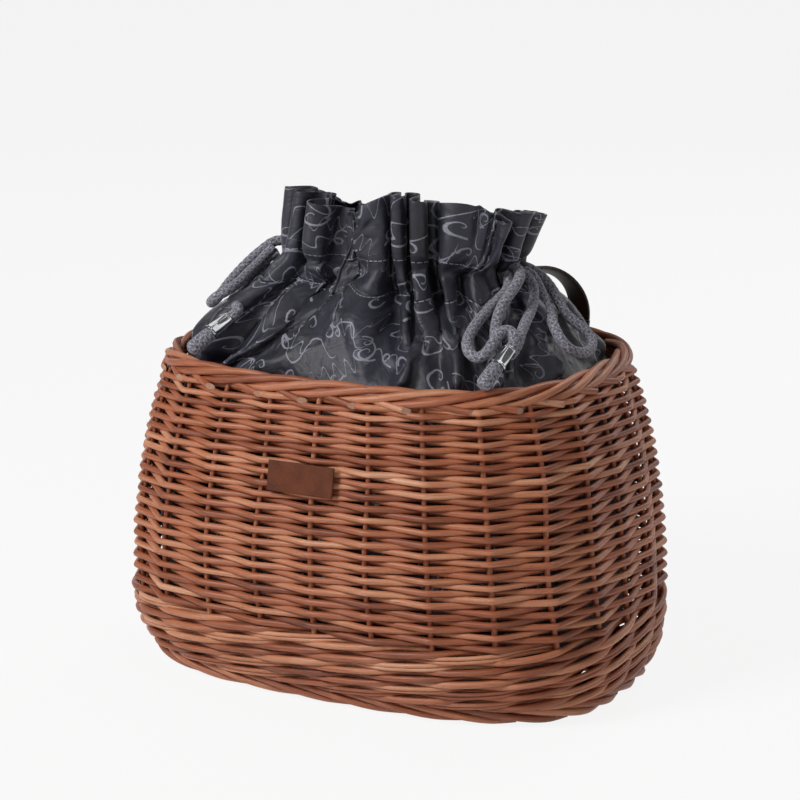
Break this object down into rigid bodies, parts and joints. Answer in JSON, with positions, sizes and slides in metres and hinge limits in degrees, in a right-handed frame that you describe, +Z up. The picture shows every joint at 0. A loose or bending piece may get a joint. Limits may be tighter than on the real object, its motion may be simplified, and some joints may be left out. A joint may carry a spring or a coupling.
{
  "type": "wicker bicycle basket",
  "caption": "Deep oval bicycle basket woven of willow rods, with a drawstring cloth liner whose frilled mouth stands above the rim, a leather handle behind and a plain leather label in front.",
  "frame": {"origin": "middle of the foot border's underside, on the surface that the basket stands on", "axes": "+X runs along the basket to the end with the bow, +Y to the back wall with the handle, +Z up"},
  "size_m": [0.4538, 0.3595, 0.416],
  "materials": {
    "willow": "reddish brown boiled willow rods with a satin skin",
    "dark_willow": "darker brown willow rods with a satin skin",
    "liner_cloth": "matte dark grey printed cotton",
    "cord": "matte mottled grey cotton braid",
    "bell_chrome": "polished",
    "strap_leather": "smooth black brown leather, satin",
    "label_leather": "matte brown leather",
    "rivet_metal": "satin nickel"
  },
  "bodies": {
    "basket": {"base_mat": "willow", "base_stick_1": "dark_willow", "base_stick_2": "dark_willow", "base_stick_3": "dark_willow", "base_stick_4": "dark_willow", "foot_border": "willow", "waling_band": "willow", "side_weave": "willow", "rim_border": "willow", "stake_01": "dark_willow", "stake_02": "dark_willow", "stake_03": "dark_willow", "stake_04": "dark_willow", "stake_05": "dark_willow", "stake_06": "dark_willow", "stake_07": "dark_willow", "stake_08": "dark_willow", "stake_09": "dark_willow", "stake_10": "dark_willow", "stake_11": "dark_willow", "stake_12": "dark_willow", "stake_13": "dark_willow", "stake_14": "dark_willow", "stake_15": "dark_willow", "stake_16": "dark_willow", "stake_17": "dark_willow", "stake_18": "dark_willow", "stake_19": "dark_willow", "stake_20": "dark_willow", "stake_21": "dark_willow", "stake_22": "dark_willow", "stake_23": "dark_willow", "stake_24": "dark_willow", "stake_25": "dark_willow", "stake_26": "dark_willow", "handle_tab_left": "strap_leather", "handle_tab_right": "strap_leather", "rivet_left_1": "rivet_metal", "rivet_left_2": "rivet_metal", "rivet_right_1": "rivet_metal", "rivet_right_2": "rivet_metal", "washer_left_1": "rivet_metal", "washer_left_2": "rivet_metal", "washer_right_1": "rivet_metal", "washer_right_2": "rivet_metal", "label": "label_leather"},
    "liner": {"liner_pouch": "liner_cloth", "liner_frill": "liner_cloth", "cord_tail_right": "cord", "cord_end_right": "cord", "cord_loop_right": "cord", "cord_bow_right": "cord", "cord_tail_left": "cord", "cord_end_left": "cord", "cord_loop_left": "cord"},
    "handle": {"handle_strap": "strap_leather"},
    "bell_left": {"bell_left": "bell_chrome"},
    "bell_right": {"bell_right": "bell_chrome"}
  },
  "joints": [
    {"name": "liner_lift", "type": "slide", "parent": "basket", "child": "liner", "axis": [0, 0, 1], "range_m": [0, 0.3]},
    {"name": "handle_swing", "type": "hinge", "parent": "basket", "child": "handle", "pos_m": [0.004, 0.15571, 0.2821], "axis": [-1, 0, 0], "range_deg": [-5, 90], "stiffness_Nm_per_rad": 0.02},
    {"name": "bell_left_slide", "type": "slide", "parent": "liner", "child": "bell_left", "axis": [0.4789, 0.6805, 0.5545], "range_m": [0, 0.0035]},
    {"name": "bell_right_slide", "type": "slide", "parent": "liner", "child": "bell_right", "axis": [0.1496, 0.8227, 0.5485], "range_m": [0, 0.004]}
  ]
}
